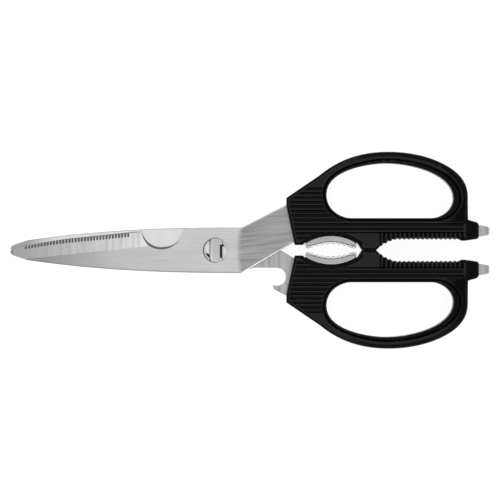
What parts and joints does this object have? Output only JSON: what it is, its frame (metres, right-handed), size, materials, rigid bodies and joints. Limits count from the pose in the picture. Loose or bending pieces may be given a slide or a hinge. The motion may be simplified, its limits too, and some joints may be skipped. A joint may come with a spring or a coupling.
{
  "type": "poultry shears",
  "caption": "Take-apart poultry and kitchen shears with serrated steel blades, bone notch, bottle opener, nutcracker jaws and black moulded loop handles.",
  "frame": {"origin": "centre of the object's footprint, on the plane of the handles' back faces, with the shears shut", "axes": "+X from the blades' points towards the handles, +Y towards the handle of the front half, +Z out of the front face, along the pivot"},
  "size_m": [0.2292, 0.094, 0.013],
  "materials": {
    "blade_steel": "brushed lengthwise, ground bevel across",
    "stud_steel": "polished with fine turning lines",
    "handle_plastic": "near-black satin moulding with fine grain",
    "jaw_steel": "satin casting with bright ground teeth",
    "bit_steel": "fine matte grey"
  },
  "bodies": {
    "rear_half": {"rear_blade": "blade_steel", "pivot_stud": "stud_steel", "lower_handle": "handle_plastic", "lower_nut_jaw": "jaw_steel", "lower_driver_bit": "bit_steel"},
    "front_half": {"front_blade": "blade_steel", "upper_handle": "handle_plastic", "upper_nut_jaw": "jaw_steel", "upper_driver_bit": "bit_steel"}
  },
  "joints": [
    {"name": "blade_pivot", "type": "hinge", "parent": "rear_half", "child": "front_half", "pos_m": [-0.01625, 0, 0.0065], "axis": [0, 0, 1], "range_deg": [0, 115]}
  ]
}
